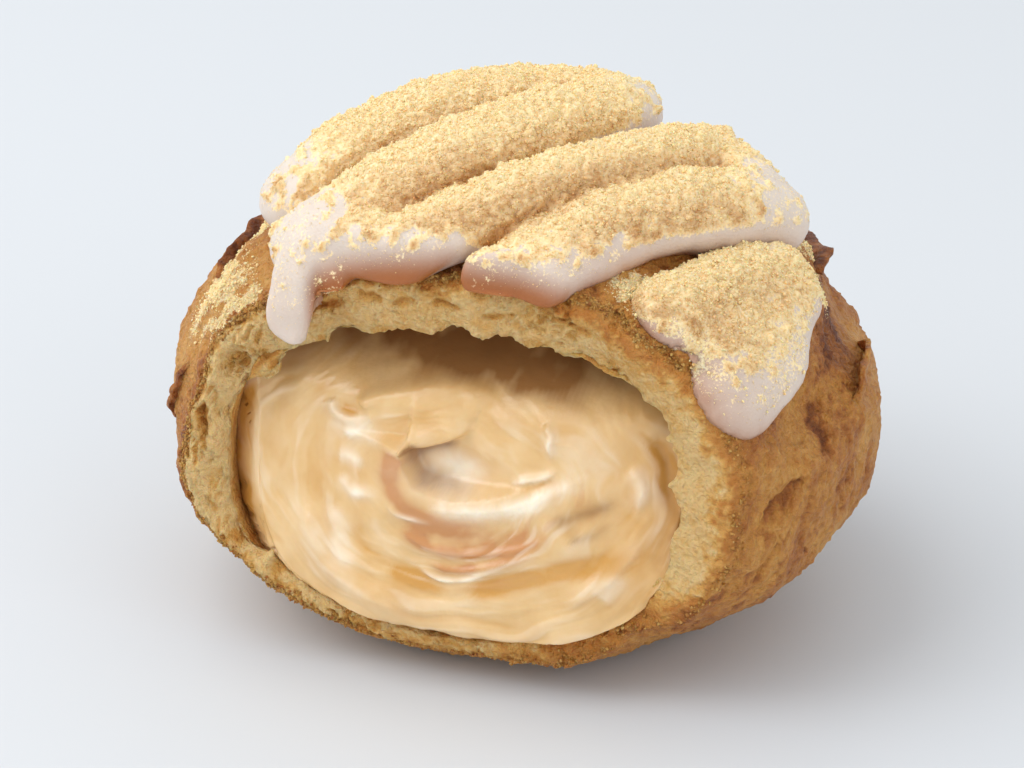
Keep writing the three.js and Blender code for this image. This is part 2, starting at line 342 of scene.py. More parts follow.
# Relief of the skin: swells, crags, grit and fine cracks, with a hollow above the burst ledge.
swells = lumps(places, 10, 2, 1)
crags = lumps(places, 3.6, 3, 2)
grit = lumps(places, 1.0, 2, 3)
crack_lines = 1 - np.abs(lumps(places + 1.5 * crags[:, None], 6.5, 2, 4))
cracks = smoothstep(crack_lines, 0.9, 0.99) * smoothstep(lumps(places, 15, 1, 5), -0.2, 0.3)
on_skin = 1 - smoothstep(under_skin, 0.5, 1.3)
bearing = np.degrees(np.arctan2(places[:, 1], places[:, 0]))
above_ledge = smoothstep(16 - np.abs(bearing - LEDGE_BEARING), 0, 10)
above_ledge *= smoothstep(5 - np.abs(level - LEDGE_LEVEL), 0, 4)
wrinkles = lumps(places * (1, 1, 0.35), 1.5, 3, 20)
crust_map = np.stack((np.radians(bearing) * MAP_ROUND + 0.7 * wrinkles, level + 0.7 * crags), axis=1)
creases = 0 * level
for crease in CREASES:
    stops = [(math.radians(turn) * MAP_ROUND, height) for turn, height in crease["route"]]
    creases += crease["depth"] * ridge(crust_map, {**crease, "route": stops})
skin_relief = SWELL_HEIGHT * swells + CRAG_HEIGHT * crags + WRINKLE_HEIGHT * wrinkles + GRIT_HEIGHT * grit
skin_relief -= CRACK_DEPTH * cracks + LEDGE_DEPTH * above_ledge + creases
skin_relief *= np.where(skin_relief < 0, np.clip(from_wall / 5, 0.1, 1), 1)

# Relief of the crumb: soft folds, thin webs, and hollows torn open under the skin and in the left wall.
upper_right = towards_top * smoothstep(along, 6, 12) * smoothstep(27 - along, 0, 5)
folds = lumps(places, 3.2, 2, 6)
webs = smoothstep(1 - np.abs(lumps(places, 1.7, 2, 7)), 0.75, 1)
cells = smoothstep(bubbles(places + 0.8 * folds[:, None], 2.0, 8), 0.1, 0.55)
torn = smoothstep(lumps(places, 4.5, 1, 9), -0.1, 0.35)
under_crust = smoothstep(under_skin, 0.7, 1.3) * smoothstep(3.4 - under_skin, 0, 1.2)
hollows = under_crust * torn * (towards_top + 0.6 * towards_left)
open_cells = cells * torn * (0.6 * upper_right + 0.4 * towards_left + 0.3 * towards_bottom)
rim_map = np.stack((along + 0.5 * folds, level + 0.5 * crags), axis=1)
tears = 0 * level
for tear in TEARS:
    tears = np.maximum(tears, tear["depth"] * ridge(rim_map, tear))
crumb_relief = FOLD_HEIGHT * folds + WEB_HEIGHT * webs * (1 - towards_right)
crumb_relief += CRUMB_GRIT_HEIGHT * grit
crumb_relief -= open_cells
left_web = ridge(rim_map, WEB)
crumb_relief += LEFT_WEB_HEIGHT * left_web - HOLLOW_DEPTH * hollows - tears
bevel = TOP_BEVEL * towards_top + RIGHT_BEVEL * towards_right + LEFT_BEVEL * towards_left
bevel *= smoothstep(inner_share, 0.3, 1)
edge_grains = EDGE_GRAIN_HEIGHT * np.abs(lumps(places, 1.2, 2, 10)) * smoothstep(2.6 - under_skin, 0, 1.6)

new_places = places + looks * (on_skin * skin_relief)[:, None]
stood_out = on_rim * (crumb_relief - bevel) + smoothstep(in_front, -3, -1) * edge_grains
new_places += CUT_OUT * stood_out[:, None]

# The left wall lies further back from the cream, about the middle of its height.
drawn_back = towards_left * smoothstep(in_front, -8, -3) * smoothstep(inner_share, 0.2, 0.8)
new_places -= CUT_ALONG * (WALL_DRAWN_BACK * drawn_back)[:, None]
for pocket in HALF_FILLED:
    apart = ((along - pocket[0]) / POCKET_SPREAD) ** 2 + ((level - pocket[1]) / POCKET_SPREAD) ** 2
    inside = np.exp(-apart ** 2) * (in_front > -8)
    new_places += CUT_OUT * (POCKET_FILLED * inside * np.maximum(-1.2 - in_front, 0))[:, None]

# Ragged teeth of crumb hang from the rim's inner edge.
teeth = lumps(np.stack((along, level, 0 * level), axis=1), 3.4, 4, 11)
near_edge = smoothstep(2.6 - from_wall, 0, 2.2) * smoothstep(in_front, -5, -1.5)
inward = np.stack((-np.cos(round_opening), -np.sin(round_opening)), axis=1)
tooth_way = inward[:, :1] * CUT_ALONG + inward[:, 1:] * np.array((0, 0, 1))
low_right = smoothstep(np.cos(round_opening + math.radians(30)), 0.6, 0.95)
tooth_length = (0.35 + 0.55 * towards_top) * teeth + RIM_WIDENED * low_right
new_places += tooth_way * (near_edge * tooth_length)[:, None]
new_places[:, 2] = np.maximum(new_places[:, 2], 0)
move_corners(shell, new_places)

# How browned the skin is, how much crumb shows, how dark the crumb is and where flour fell, with painted
# light and shade.
brown_right = smoothstep(places[:, 0], 12, 34) * smoothstep(level, 30, 42)
bake = 0.4 + 0.15 * lumps(places, 12, 2, 12) + 0.1 * crags + 0.08 * wrinkles + 0.2 * brown_right
bake += 0.25 * cracks + 0.28 * np.clip(creases, 0, 1)
# Painted light: the skin is paler low on the left, where it lies in shadow.
bake -= 0.2 * smoothstep(14 - level, 0, 6) * smoothstep(-along, -5, 10)
bake += (0.25 - 0.2 * towards_right) * smoothstep(2.5 - under_skin, 0, 2) * (in_front > -3)
# Painted shade in the skin's dips and painted light on its swells.
bake += 0.25 * smoothstep(-skin_relief, 0.2, 0.8) - 0.15 * smoothstep(skin_relief, 0.1, 0.6)
skin_edge = SKIN_THICKNESS + 0.5 * lumps(places, 2.0, 3, 13) + 1.2 * towards_right * (0.6 + 0.4 * folds)
skin_edge += 0.5 * towards_top
crumb = smoothstep(under_skin, skin_edge - 0.5, skin_edge + 0.8 + 0.7 * towards_right)
fallen = 0 * level
for spot, spread in FALLEN:
    fallen = np.maximum(fallen, 1 - np.linalg.norm(places - spot, axis=1) / spread)
fallen = 0.7 * smoothstep(fallen * (1 + 0.6 * lumps(places, 1.6, 3, 14)), 0.05, 0.9) * (1 - crumb)
# Painted shade darkens the crumb in cells, hollows and tears, on the inner wall and at the rim's top and
# bottom.
shade_and_browning = (1 - 0.4 * upper_right) * open_cells + 0.5 * hollows - 0.3 * webs + 0.15 * folds
shade_and_browning += 0.85 * smoothstep(-in_front, 1.5, 5)
shade_and_browning += 0.7 * smoothstep(tears, 0.2, 1.2) + 0.12 * towards_top - 0.12 * towards_left - 0.4 * left_web
browned_edge = 1 - smoothstep(under_skin - skin_edge + 0.6 * grit, 0.2, 2.4 + 1.2 * towards_right)
shade_and_browning += (0.6 + 0.4 * towards_top + 0.3 * towards_right) * browned_edge
shade_and_browning += 0.25 * towards_bottom * smoothstep(along, -8, 4)
keep(shell, "crumb", crumb)
keep(shell, "bake", np.clip(bake, 0, 1))
keep(shell, "crumb_shade_and_browning", np.clip(0.15 + shade_and_browning, 0, 1))
keep(shell, "flour", fallen)
torn_edge = smoothstep(in_front, -2.5, -1) * smoothstep(3.2 - under_skin, 0, 1.6)
torn_edge *= smoothstep(under_skin, 0.2, 0.9)
keep(shell, "torn", torn_edge * (0.4 + 0.6 * towards_top + 0.5 * towards_left))
shell.data.shade_smooth()


def add_node(tree, kind, **values):
    """A new shader node with its settings and inputs; an input given as a socket is linked."""
    made = tree.nodes.new(kind)
    for name, value in values.items():
        label = name.title()
        if label not in made.inputs:
            setattr(made, name, value)
        elif isinstance(value, bpy.types.NodeSocket):
            tree.links.new(value, made.inputs[label])
        else:
            made.inputs[label].default_value = value
    return made


def blend(tree, share, first, second):
    """Mixes two colours, each a socket or a plain colour."""
    made = tree.nodes.new("ShaderNodeMix")
    made.data_type = "RGBA"
    for socket, value in ((made.inputs[0], share), (made.inputs[6], first), (made.inputs[7], second)):
        if isinstance(value, bpy.types.NodeSocket):
            tree.links.new(value, socket)
        else:
            socket.default_value = value
    return made.outputs[2]


def sums(tree, way, first, second):
    """The sum, product or other result of two numbers, each a socket or a plain number."""
    made = tree.nodes.new("ShaderNodeMath")
    made.operation = way
    for socket, value in zip(made.inputs, (first, second)):
        if isinstance(value, bpy.types.NodeSocket):
            tree.links.new(value, socket)
        else:
            socket.default_value = value
    return made.outputs[0]


def ramp(tree, share, stops):
    """Runs through colours as a share goes from 0 to 1."""
    made = tree.nodes.new("ShaderNodeValToRGB")
    tree.links.new(share, made.inputs[0])
    colours = made.color_ramp.elements
    while len(colours) < len(stops):
        colours.new(0.5)
    for colour, (position, value) in zip(colours, stops):
        colour.position = position
        colour.color = value
    return made.outputs[0]


def kept(tree, name):
    """A value kept at the corners."""
    return add_node(tree, "ShaderNodeAttribute", attribute_name=name).outputs["Fac"]


def grain(tree, size, detail=3):
    """Fine noise, 0 to 1, with grains of a size in millimetres."""
    place = add_node(tree, "ShaderNodeTexCoord").outputs["Object"]
    return add_node(tree, "ShaderNodeTexNoise", vector=place, scale=1000 / size, detail=detail).outputs[0]


def new_material(name):
    """An empty material with its tree and its one Principled shader."""
    material = bpy.data.materials.new(name)
    material.use_nodes = True
    return material, material.node_tree, material.node_tree.nodes["Principled BSDF"]


# Roasted flour as a shared effect: its own speckled colour, and the share of a surface that it hides.
flour_group = bpy.data.node_groups.new("Roasted flour", "ShaderNodeTree")
for label, way, kind in (
    ("Cover", "INPUT", "Float"),
    ("Depth", "INPUT", "Float"),
    ("Colour", "OUTPUT", "Color"),
    ("Mask", "OUTPUT", "Float"),
    ("Height", "OUTPUT", "Float"),
):
    flour_group.interface.new_socket(label, in_out=way, socket_type="NodeSocket" + kind)
flour_in = flour_group.nodes.new("NodeGroupInput")
flour_out = flour_group.nodes.new("NodeGroupOutput")
specks = grain(flour_group, 0.32)
FLOUR_COLOURS = [
    (0.3, linear(248, 207, 142)),
    (0.45, linear(254, 223, 166)),
    (0.6, linear(254, 229, 180)),
    (0.75, linear(255, 239, 202)),
]
# Flour in painted shade takes this darker colour.
SHADED_FLOUR_COLOUR = linear(200, 144, 80)
flour_colour = ramp(flour_group, specks, FLOUR_COLOURS)
flour_colour = blend(flour_group, flour_in.outputs["Depth"], flour_colour, SHADED_FLOUR_COLOUR)
flour_group.links.new(flour_colour, flour_out.inputs["Colour"])
dusted = sums(flour_group, "SUBTRACT", sums(flour_group, "ADD", flour_in.outputs["Cover"], specks), 0.75)
sharp = sums(flour_group, "MULTIPLY", dusted, 5)
sharp.node.use_clamp = True
flour_group.links.new(sharp, flour_out.inputs["Mask"])
flour_group.links.new(specks, flour_out.inputs["Height"])


def add_flour(tree, **drivers):
    """The flour effect in a material, with the kept values that drive its inputs."""
    flour = tree.nodes.new("ShaderNodeGroup")
    flour.node_tree = flour_group
    for label, name in drivers.items():
        tree.links.new(kept(tree, name), flour.inputs[label])
    return flour


SKIN_COLOURS = [
    (0.0, linear(228, 174, 98)),
    (0.35, linear(207, 143, 64)),
    (0.65, linear(176, 106, 42)),
    (1.0, linear(110, 54, 20)),
]
# Crumb colours, from pale crumb to golden browning and painted shade.
CRUMB_AND_SHADE_COLOURS = [
    (0.0, linear(239, 202, 138)),
    (0.45, linear(225, 170, 88)),
    (1.0, linear(197, 124, 44)),
]
choux, tree, shader = new_material("baked choux")
speckle = sums(tree, "MULTIPLY", sums(tree, "SUBTRACT", grain(tree, 0.8, 5), 0.5), 0.65)
skin_colour = ramp(tree, sums(tree, "ADD", kept(tree, "bake"), speckle), SKIN_COLOURS)
place = add_node(tree, "ShaderNodeTexCoord").outputs["Object"]
pores = add_node(tree, "ShaderNodeTexVoronoi", vector=place, scale=1000 / PORE_SIZE, randomness=1.0)
pores = pores.outputs["Distance"]
mottle = sums(tree, "MULTIPLY", sums(tree, "SUBTRACT", grain(tree, 1.2, 4), 0.5), 0.5)
mottle = sums(tree, "SUBTRACT", mottle, sums(tree, "MULTIPLY", sums(tree, "SUBTRACT", pores, 0.4), 0.25))
crumb_and_shade_colour = ramp(tree, sums(tree, "ADD", kept(tree, "crumb_shade_and_browning"), mottle), CRUMB_AND_SHADE_COLOURS)
flour = add_flour(tree, Cover="flour")
baked = blend(tree, kept(tree, "crumb"), skin_colour, crumb_and_shade_colour)
baked = blend(tree, flour.outputs["Mask"], baked, flour.outputs["Colour"])
tree.links.new(baked, shader.inputs["Base Color"])
sponge = sums(tree, "MULTIPLY", pores, 0.35)
height = sums(tree, "ADD", sums(tree, "ADD", grain(tree, 0.5, 6), grain(tree, 1.5, 4)), sponge)
bump = add_node(tree, "ShaderNodeBump", strength=1.0, distance=0.0012, height=height)
tree.links.new(bump.outputs[0], shader.inputs["Normal"])
shader.inputs["Roughness"].default_value = 0.52
shader.inputs["Subsurface Weight"].default_value = 0.3
shader.inputs["Subsurface Radius"].default_value = (1.0, 0.5, 0.2)
shader.inputs["Subsurface Scale"].default_value = 0.0012
shell.data.materials.append(choux)
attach(shell, "root")
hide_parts("choux_shell")

# Crust flakes
# Thin blisters of the skin that burst and curled up in the oven, still fast along one edge.
# The darkest one stands up behind the flour on the left, and one ends in a point on the right.

FLAKE_THICKNESS = 0.6
FLAKE_ROOT = 0.8
FLAKE_NET = {"x_segments": 30, "y_segments": 8}
FLAKES = [
    {"start": (184, 42), "end": (170, 51), "rise": 2.0, "lean": 40, "curl": -1.0, "bake": 0.85},
    {"start": (-10, 45), "end": (14, 44.5), "rise": 2.8, "lean": 25, "curl": -1.2, "bake": 0.85},
    {"start": (-24, 30), "end": (-2, 31), "rise": 4.5, "lean": 62, "curl": 0.6, "bake": 0.5},
    {"start": (-172, 25), "end": (-165, 33), "rise": 0.8, "lean": 20, "curl": -0.4, "bake": 0.7},
]

# The shell from outside, to fix the flakes and the strands on.
shell_tree = BVHTree.FromObject(shell, bpy.context.evaluated_depsgraph_get())


def crust_under(ways):
    """How far the crust reaches from the middle along unit directions, or 0 where it is cut away."""
    found = []
    for way in ways:
        hit = shell_tree.ray_cast(Vector(PUFF_MIDDLE / 1000 + way * 0.08), Vector(-way))[3]
        found.append(80 - 1000 * hit if hit else 0)
    found = np.array(found)
    return np.where(found > reach(ways, **CRUST) - 5, found, 0)


whole = bmesh.new()
flake_bake = []
for seed, flake in enumerate(FLAKES):
    shape = bmesh.new()
    bmesh.ops.create_grid(shape, size=0.5, **FLAKE_NET)
    net = np.array([vertex.co[:] for vertex in shape.verts])
    share = net[:, 0] + 0.5
    rise = net[:, 1] + 0.5
    turn = np.radians(flake["start"][0] + (flake["end"][0] - flake["start"][0]) * share)
    height = flake["start"][1] + (flake["end"][1] - flake["start"][1]) * share
    ways = np.stack((np.cos(turn), np.sin(turn), 0 * turn), axis=1) * MAP_ROUND * 0.85
    ways[:, 2] = height - PUFF_MIDDLE[2]
    ways /= np.linalg.norm(ways, axis=1)[:, None]
    crust = np.maximum(crust_under(ways), reach(ways, **CRUST) - 2)
    root = PUFF_MIDDLE + ways * (crust - FLAKE_ROOT)[:, None]
    tangent = root[share.argmax()] - root[share.argmin()]
    upward = np.cross(ways, tangent)
    upward *= np.sign(upward[:, 2:]) / np.linalg.norm(upward, axis=1)[:, None]
    ragged = lumps(np.stack((9 * share, 0 * share, 0 * share), axis=1), 3, 2, 40 + seed)
    reached = rise * (FLAKE_ROOT + flake["rise"] * (1 - np.abs(2 * share - 1) ** 3) * (0.8 + 0.3 * ragged))
    lean = math.radians(flake["lean"])
    bend = flake["curl"] * rise ** 2 + 0.3 * lumps(root + 4 * rise[:, None], 3, 2, 50 + seed)
    placed = root + (ways * math.cos(lean) + upward * math.sin(lean)) * reached[:, None]
    placed += (upward * math.cos(lean) - ways * math.sin(lean)) * (bend * rise)[:, None]
    for vertex, spot in zip(shape.verts, placed):
        vertex.co = spot / 1000
    bmesh.ops.recalc_face_normals(shape, faces=shape.faces)
    bmesh.ops.solidify(shape, geom=shape.faces[:], thickness=FLAKE_THICKNESS / 1000)
    bmesh.ops.recalc_face_normals(shape, faces=shape.faces)
    mesh = bpy.data.meshes.new("flake")
    shape.to_mesh(mesh)
    flake_bake += [flake["bake"]] * len(shape.verts)
    shape.free()
    whole.from_mesh(mesh)
    bpy.data.meshes.remove(mesh)
flakes = new_piece(whole, "crust_flakes")
keep(flakes, "bake", np.array(flake_bake) + 0.2 * lumps(corners(flakes), 2, 2, 60))
flakes.data.shade_smooth()
flakes.data.materials.append(choux)
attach(flakes, "root")

# Loose crumb
# Bits of browned crumb that the knife tore off, still clinging along the rim's outer edge.
# They are as fine as coarse sand, and lie thickest where the skin meets the torn crumb.

LOOSE_SIZE = (0.12, 0.5)
LOOSE_COUNT = 5000

template = bmesh.new()
bmesh.ops.create_icosphere(template, subdivisions=1, radius=0.5)
CRUMB_SHAPE = (
    np.array([vertex.co[:] for vertex in template.verts]),
    np.array([[vertex.index for vertex in face.verts] for face in template.faces]),
)
template.free()


def spots(host, layer, count, power, draw):
    """Places on a host piece, the ways it looks there and corners, drawn where a kept value is high."""
    mesh = host.data
    mesh.calc_loop_triangles()
    owners = np.empty(len(mesh.loop_triangles) * 3, dtype=int)
    mesh.loop_triangles.foreach_get("vertices", owners)
    owners = owners.reshape(-1, 3)
    cover = read_kept(host, layer)
    sides = corners(host)[owners]
    across = np.cross(sides[:, 1] - sides[:, 0], sides[:, 2] - sides[:, 0])
    area = np.linalg.norm(across, axis=1)
    chance = np.cumsum(area * cover[owners].mean(axis=1) ** power)
    picked = np.searchsorted(chance, draw.random(count) * chance[-1])
    first = np.sqrt(draw.random(count))[:, None]
    second = draw.random(count)[:, None]
    place = sides[picked, 0] * (1 - first) + sides[picked, 1] * first * (1 - second)
    place += sides[picked, 2] * first * second
    return place, across[picked] / area[picked][:, None], owners[picked, 0]


def scatter(name, host, layer, count, power, size, shape, seed):
    """One piece of many grains on a host, each turned and sized by a seeded draw."""
    draw = np.random.default_rng(seed)
    place, look, corner = spots(host, layer, count, power, draw)
    turn = draw.normal(size=(count, 4))
    w, x, y, z = (turn / np.linalg.norm(turn, axis=1)[:, None]).T
    rotation = np.stack((
        np.stack((1 - 2 * (y * y + z * z), 2 * (x * y - w * z), 2 * (x * z + w * y)), axis=1),
        np.stack((2 * (x * y + w * z), 1 - 2 * (x * x + z * z), 2 * (y * z - w * x)), axis=1),
        np.stack((2 * (x * z - w * y), 2 * (y * z + w * x), 1 - 2 * (x * x + y * y)), axis=1),
    ), axis=1)
    across = size[0] + (size[1] - size[0]) * draw.random(count) ** 2
    grains = shape[0][None] * (across[:, None] * draw.uniform(0.5, 1.3, (count, 3)))[:, None, :]
    grains *= draw.uniform(0.75, 1.2, (count, len(shape[0]), 1))
    grains = np.einsum("nij,nkj->nki", rotation, grains)
    grains += (place + look * (across * draw.uniform(0.0, 0.4, count))[:, None])[:, None, :]
    faces = shape[1][None] + (np.arange(count) * len(shape[0]))[:, None, None]
    mesh = bpy.data.meshes.new(name)
    mesh.from_pydata((grains.reshape(-1, 3) / 1000).tolist(), [], faces.reshape(-1, 3).tolist())
    piece = bpy.data.objects.new(name, mesh)
    bpy.context.collection.objects.link(piece)
    # Grains take the painted shade of the flour where they lie, kept as depth.
    if "depth" in host.data.attributes:
        keep(piece, "depth", np.repeat(read_kept(host, "depth")[corner], len(shape[0])))
    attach(piece, "root")
    return piece


loose = scatter("loose_crumb_on_rim", shell, "torn", LOOSE_COUNT, 1.5, LOOSE_SIZE, CRUMB_SHAPE, 9)
shades = np.random.default_rng(10).uniform(0, 0.75, LOOSE_COUNT)
keep(loose, "bake", np.repeat(shades, len(CRUMB_SHAPE[0])))
loose.data.materials.append(choux)

# Custard cream
# Thick custard folded with whipped cream, spooned into the hollow and swept round with a spatula.
# The cut smeared its face: a hooked crest winds out of a smooth pool into ever flatter strokes.

CREAM_GRID = 0.96
CREAM_BULGE = 1.2
CREAM_TOP_RECESS = 7.5
CREAM_LEFT_RECESS = 3.6
CREAM_RIGHT_RECESS = 3.5
CREAM_CROWN_RECESS = 9
CREAM_EDGE_FALL = 2.4
CREAM_EDGE_ROUNDING = 4
FOLD_RISE = 0.3
SWEEP_RISE = 0.16
SMEAR_RISE = 0.03
CREAM_OFF_WALL = 0.8
CREAM_UNDER_CRUST = 1.6
GAP_FILLED = 5.5
POOL = (-0.6, 27.4)
POOL_DEPTH = 2.0

# The edge of its face, as bearings about the opening's middle, in degrees, and distances from there.
CREAM_EDGE = (
    (-180, 26.9), (-163, 26.9), (-150, 26.8), (-138, 27), (-124, 40), (-75, 40), (-62, 23.6), (-48, 24.6),
    (-33, 26), (-17, 26.8), (1, 27.2), (14, 27.4), (24, 29), (36, 40), (150, 40), (162, 30), (170, 27.8),
    (180, 26.9),
)

# Strokes of the spatula, each a ridge along a route on the cut, as places along it and levels.
# A ridge falls off over one width on its left and another on its right, and may be tinted.
# Some tints are painted light: white on some crests is painted highlight, and shade and some gold are
# painted shade.
STROKES = {
    "hook": {"height": 3.2, "left": 0.45, "right": 4.4, "start": 0.04, "power": 1.4,
     "route": ((-5.8, 31.2), (-5.7, 28.7), (-5.1, 27.2), (-3.7, 25.8), (0.3, 25.1),
               (7.2, 26.3), (13.6, 29.5))},
    "tan flank of the hook": {"left": 1.2, "right": 1.5, "start": 0.08, "power": 2.5, "pink": 1.3,
     "route": ((-6.3, 30.1), (-6.9, 28.5), (-7.2, 26.4), (-6.6, 24.8), (-5.2, 23.4), (-2.7, 22.3),
               (0.9, 21.9), (4.7, 22.2), (8.4, 23.3))},
    "shade inside the hook": {"height": -0.4, "left": 0.9, "right": 0.3, "start": 0.06, "shade": 1.6,
     "route": ((-5.4, 31.0), (-5.2, 28.9), (-4.6, 27.5), (-3.3, 26.2), (0.4, 25.6), (4, 25.9))},
    # Painted highlight: white along the lip.
    "lip": {"height": 0.5, "left": 0.8, "right": 1.2, "white": 1.0,
     "route": ((-3.0, 24.1), (0.3, 24.0), (4.0, 24.3), (8.2, 25.1), (11.6, 26.6), (15, 28.3), (17.5, 30.2))},
    "glint below the hook": {"height": 0.3, "left": 0.35, "right": 0.35, "white": 0.9,
     "route": ((-7.8, 23.3), (-6.4, 22.4), (-4.3, 22.1), (-1.6, 21.8))},
    "tongue's lower edge": {"height": 1.6, "left": 3.0, "right": 0.4, "start": 0.05,
     "route": ((-6.1, 30.4), (-4.3, 30.3), (-1.8, 31.1), (0.5, 32.3), (2.2, 33.3))},
    "shade under the tongue": {"height": -0.4, "left": 0.3, "right": 0.8, "shade": 0.9,
     "route": ((-5.6, 29.6), (-4.0, 29.5), (-1.6, 30.3), (0.6, 31.5))},
    "tongue's upper edge": {"height": 1.5, "left": 0.5, "right": 3.2, "start": 0.1,
     "route": ((-13.2, 33.6), (-10.2, 35.3), (-4.5, 36.8), (-1.3, 37.1), (1.5, 37.0),
               (3.2, 36.5), (4.6, 35.5))},
    "shade over the tongue": {"left": 4.0, "right": 1.2, "power": 2, "start": 0.4, "shade": 0.9,
     "route": ((-16.8, 35.2), (-9.6, 37.4), (-2.7, 38.4), (6.3, 37.6), (13.8, 37.0), (21, 35.2))},
    # Painted highlight: white on the fold's crest.
    "left fold": {"height": 1.2, "left": 0.4, "right": 1.4, "start": 0.05, "white": 0.5,
     "route": ((-16.1, 33.6), (-15.6, 32.6), (-14.3, 32.1), (-11.9, 32.4), (-9.2, 33.2))},
    # Painted shade in gold inside the left fold.
    "gold in the left fold": {"left": 0.5, "right": 0.35, "gold": 1.2,
     "route": ((-14.9, 33.1), (-13.8, 32.7), (-12.0, 32.9))},
    "white left of the hook": {"height": 0.35, "left": 0.9, "right": 0.9, "white": 0.9,
     "route": ((-15.0, 27.6), (-13.0, 27.6), (-10.6, 27.1))},
    "lower white": {"height": 0.35, "left": 0.8, "right": 0.8, "white": 0.8,
     "route": ((-14.6, 25.6), (-13.0, 23.8), (-10.6, 23.8), (-8.2, 23.3))},
    "upper white": {"height": 0.2, "left": 0.9, "right": 0.9, "white": 0.6,
     "route": ((-14.4, 30.3), (-11.5, 30.7), (-8.1, 30.7))},
    "left ring": {"height": 0.5, "left": 1.4, "right": 1.4, "white": 0.4,
     "route": ((-15.2, 21.9), (-14.6, 18.2), (-13.3, 14.7), (-10.6, 12.8))},
    "pink sweep": {"left": 1.3, "right": 1.5, "power": 3, "pink": 0.95,
     "route": ((-6.4, 21), (-3, 20.2), (0.5, 19.8), (5, 20), (9.5, 21.4), (13.4, 23.4))},
    "second streak": {"height": 0.6, "left": 0.5, "right": 0.9, "pink": 1.1,
     "route": ((-6.6, 20.6), (-3.6, 19.2), (-0.4, 18.6), (3.3, 18.5), (7.6, 19.5),
               (11.1, 21.2), (13.7, 23.0))},
    "third streak": {"height": 0.6, "left": 0.4, "right": 0.7, "pink": 0.9,
     "route": ((-2.9, 16.7), (0.3, 16.2), (4.0, 16.9), (8.2, 18.5), (12.3, 20.6))},
    # Painted highlight: a white line along the shore.
    "white shore": {"height": 0.5, "left": 0.4, "right": 0.35, "white": 0.9,
     "route": ((-4.0, 16.0), (-1.2, 14.6), (2.1, 15.1), (4.8, 16.2), (7.6, 17.4))},
    "golden pool": {"height": -0.4, "left": 1.3, "right": 1.3, "power": 3, "gold": 1.3,
     "route": ((1.5, 13.2), (5.4, 14.4), (9.8, 16.2), (14.2, 17.6), (19.5, 18.5), (25, 19.2))},
    "small golden pool": {"height": -0.2, "left": 1.1, "right": 1.1, "power": 2, "gold": 1.3,
     "route": ((-8, 15.2), (-4.9, 14.2), (-2.6, 13.8), (0.6, 13.2))},
    "golden side": {"left": 1.0, "right": 1.0, "gold": 0.5,
     "route": ((-12.2, 19.9), (-11.2, 17.3), (-8.7, 15.7))},
    "grey smear": {"height": -0.3, "left": 1.0, "right": 1.0, "shade": 0.6,
     "route": ((11.4, 23.5), (14.9, 23.9), (17.6, 24.8), (19.8, 26.4))},
    "lower grey smear": {"height": -0.2, "left": 0.7, "right": 0.7, "shade": 0.5,
     "route": ((13.9, 20.9), (17.2, 22.1), (19.8, 23.2))},
    "thin lip": {"height": 0.7, "left": 0.5, "right": 0.3, "white": 0.8,
     "route": ((6.4, 27.0), (9.4, 28.0), (11.3, 28.6), (12.5, 29.6))},
    "gold under the thin lip": {"height": -0.2, "left": 0.3, "right": 0.4, "gold": 0.7,
     "route": ((8.1, 26.8), (10.3, 27.4), (12.0, 28.3))},
    "bright fold": {"height": 0.9, "left": 0.5, "right": 0.6, "white": 0.7,
     "route": ((10.4, 34.7), (11.4, 33.5), (11.3, 31.9), (12.0, 30.2))},
    "right fold": {"height": 0.8, "left": 0.8, "right": 1.2, "white": 0.5,
     "route": ((20.2, 30.0), (21.8, 28.1), (21.9, 26.0), (20.6, 23.7))},
    # Painted shade in gold where the face rolls away on the right.
    "dark right edge": {"height": -0.6, "left": 1.5, "right": 0.9, "gold": 0.9,
     "route": ((22.1, 33.6), (24.3, 30.3), (25.1, 27.1), (24.6, 23.8))},
    "white low on the right": {"height": 0.3, "left": 1.2, "right": 1.2, "white": 0.5,
     "route": ((18.0, 14.0), (19.6, 15.7), (20.2, 17.8))},
    "low fold": {"height": 0.6, "left": 1.6, "right": 0.6, "white": 0.2,
     "route": ((13.9, 12.9), (18.2, 15.6), (21.3, 19.1), (22.7, 22.7))},
    "outer sweep": {"height": 0.8, "left": 1.4, "right": 2.2, "white": 0.15,
     "route": ((-19.7, 23.5), (-18.3, 17.7), (-14.4, 13.0), (-7.6, 10.7), (-0.7, 10.1), (6.7, 11.3))},
}

cream = copy_of("custard_cream", "custard_cream_look")
remesh(cream, CREAM_GRID)
smooth(cream, 5)
places = corners(cream)
front = (corner_normals(cream) @ CUT_OUT > 0.35) & (past_cut(places) > -17)
side_corners = places[~front]
refine(cream, face_means(cream, front.astype(float)) > 0.3)
front = smoothstep(corner_normals(cream) @ CUT_OUT, 0.3, 0.5) * (past_cut(corners(cream)) > -17)
refine(cream, face_means(cream, front) > 0.4)
smooth(cream, 2)

places = corners(cream)
facing = smoothstep(corner_normals(cream) @ CUT_OUT, 0.2, 0.55) * (past_cut(places) > -18)
from_edge = nearest(places, side_corners)

# It is drawn in from the hollow's wall, so that a gap is open on the left.
off_middle = np.stack((places @ CUT_ALONG, places[:, 2]), axis=1) - OPENING_MIDDLE
bearing = np.degrees(np.arctan2(off_middle[:, 1], off_middle[:, 0]))
distance = np.hypot(off_middle[:, 0], off_middle[:, 1])
edge = np.interp(bearing, *np.transpose(CREAM_EDGE)) - CREAM_EDGE_ROUNDING
beyond = np.maximum(distance - edge, 0)
drawn_in = (beyond - CREAM_EDGE_ROUNDING * (1 - np.exp(-beyond / CREAM_EDGE_ROUNDING))) / distance
drawn_in *= np.maximum(facing, smoothstep(past_cut(places), -7.5, -5.5))
places -= CUT_ALONG * (off_middle[:, 0] * drawn_in)[:, None]
places[:, 2] -= off_middle[:, 1] * drawn_in
along = places @ CUT_ALONG
level = places[:, 2]
on_face = np.stack((along, level), axis=1)

